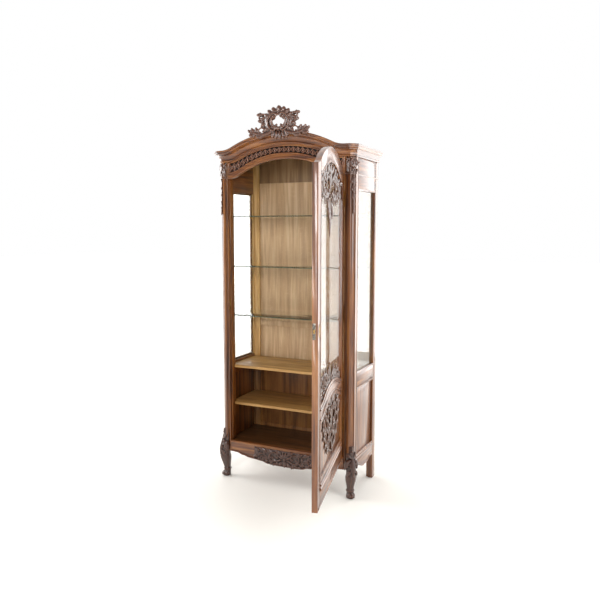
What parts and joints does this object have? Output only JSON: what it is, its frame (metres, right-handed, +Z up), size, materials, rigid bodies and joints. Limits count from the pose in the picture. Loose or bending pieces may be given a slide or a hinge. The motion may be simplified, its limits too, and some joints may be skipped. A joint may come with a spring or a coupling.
{
  "type": "china cabinet",
  "caption": "Tall free-standing oak display cabinet with an arched glazed door, glazed sides, glass and wood shelves, carved crest and cabriole front legs.",
  "frame": {"origin": "on the floor, under the middle of the object's box with the door open as stored", "axes": "+Z up; +Y to the back of the cabinet; +X to the right as seen from the front"},
  "size_m": [1.0664, 1.2188, 2.38],
  "materials": {
    "waxed_oak": "red-brown stained oak, waxed to a soft shine",
    "carved_oak": "darker stained oak carving, waxed and shiny on its high parts",
    "inner_oak": "lighter oak boards inside the case, dull waxed",
    "clear_glass": "clear flat glass with a faint green edge",
    "brass": "aged brass, satin",
    "steel": "plain steel lock case"
  },
  "bodies": {
    "carcass": {"front_post_left": "waxed_oak", "front_post_right": "waxed_oak", "back_post_left": "waxed_oak", "back_post_right": "waxed_oak", "side_frieze_rail_left": "waxed_oak", "side_frieze_rail_right": "waxed_oak", "side_middle_rail_left": "waxed_oak", "side_middle_rail_right": "waxed_oak", "side_bottom_rail_left": "waxed_oak", "side_bottom_rail_right": "waxed_oak", "side_panel_left": "waxed_oak", "side_panel_right": "waxed_oak", "apron": "waxed_oak", "arched_frieze": "waxed_oak", "cornice_front": "waxed_oak", "cornice_return_left": "waxed_oak", "cornice_return_right": "waxed_oak", "apron_carving": "carved_oak", "frieze_lattice": "carved_oak", "crest": "carved_oak", "post_carving_left": "carved_oak", "post_carving_right": "carved_oak", "back_bottom_rail": "inner_oak", "back_middle_rail": "inner_oak", "back_top_rail": "inner_oak", "back_muntin_lower": "inner_oak", "back_muntin_upper": "inner_oak", "back_panel_lower_left": "inner_oak", "back_panel_lower_right": "inner_oak", "back_panel_upper_left": "inner_oak", "back_panel_upper_right": "inner_oak", "floor_board": "inner_oak", "middle_shelf": "inner_oak", "lower_shelf": "inner_oak", "roof_board": "inner_oak", "side_glass_left": "clear_glass", "side_glass_right": "clear_glass", "upper_glass_shelf": "clear_glass", "centre_glass_shelf": "clear_glass", "lower_glass_shelf": "clear_glass", "hinge_lower_post_half": "brass", "hinge_middle_post_half": "brass", "hinge_upper_post_half": "brass", "strike_plate": "brass"},
    "door": {"door_hinge_stile": "waxed_oak", "door_lock_stile": "waxed_oak", "door_arched_top_rail": "waxed_oak", "door_middle_rail": "waxed_oak", "door_bottom_rail": "waxed_oak", "door_panel": "waxed_oak", "door_head_carving": "carved_oak", "door_waist_carving": "carved_oak", "door_panel_carving": "carved_oak", "door_glass": "clear_glass", "hinge_lower_door_half": "brass", "hinge_middle_door_half": "brass", "hinge_upper_door_half": "brass", "lock_case": "steel", "escutcheon": "brass"},
    "bolt": {"lock_bolt": "brass"}
  },
  "joints": [
    {"name": "door_hinge", "type": "hinge", "parent": "carcass", "child": "door", "pos_m": [0.35545, 0.17244, 1.1], "axis": [0, 0, 1], "range_deg": [-102.7, 12.3]},
    {"name": "bolt_slide", "type": "slide", "parent": "door", "child": "bolt", "axis": [0.2198, -0.9755, 0], "range_m": [0, 0.01]}
  ]
}
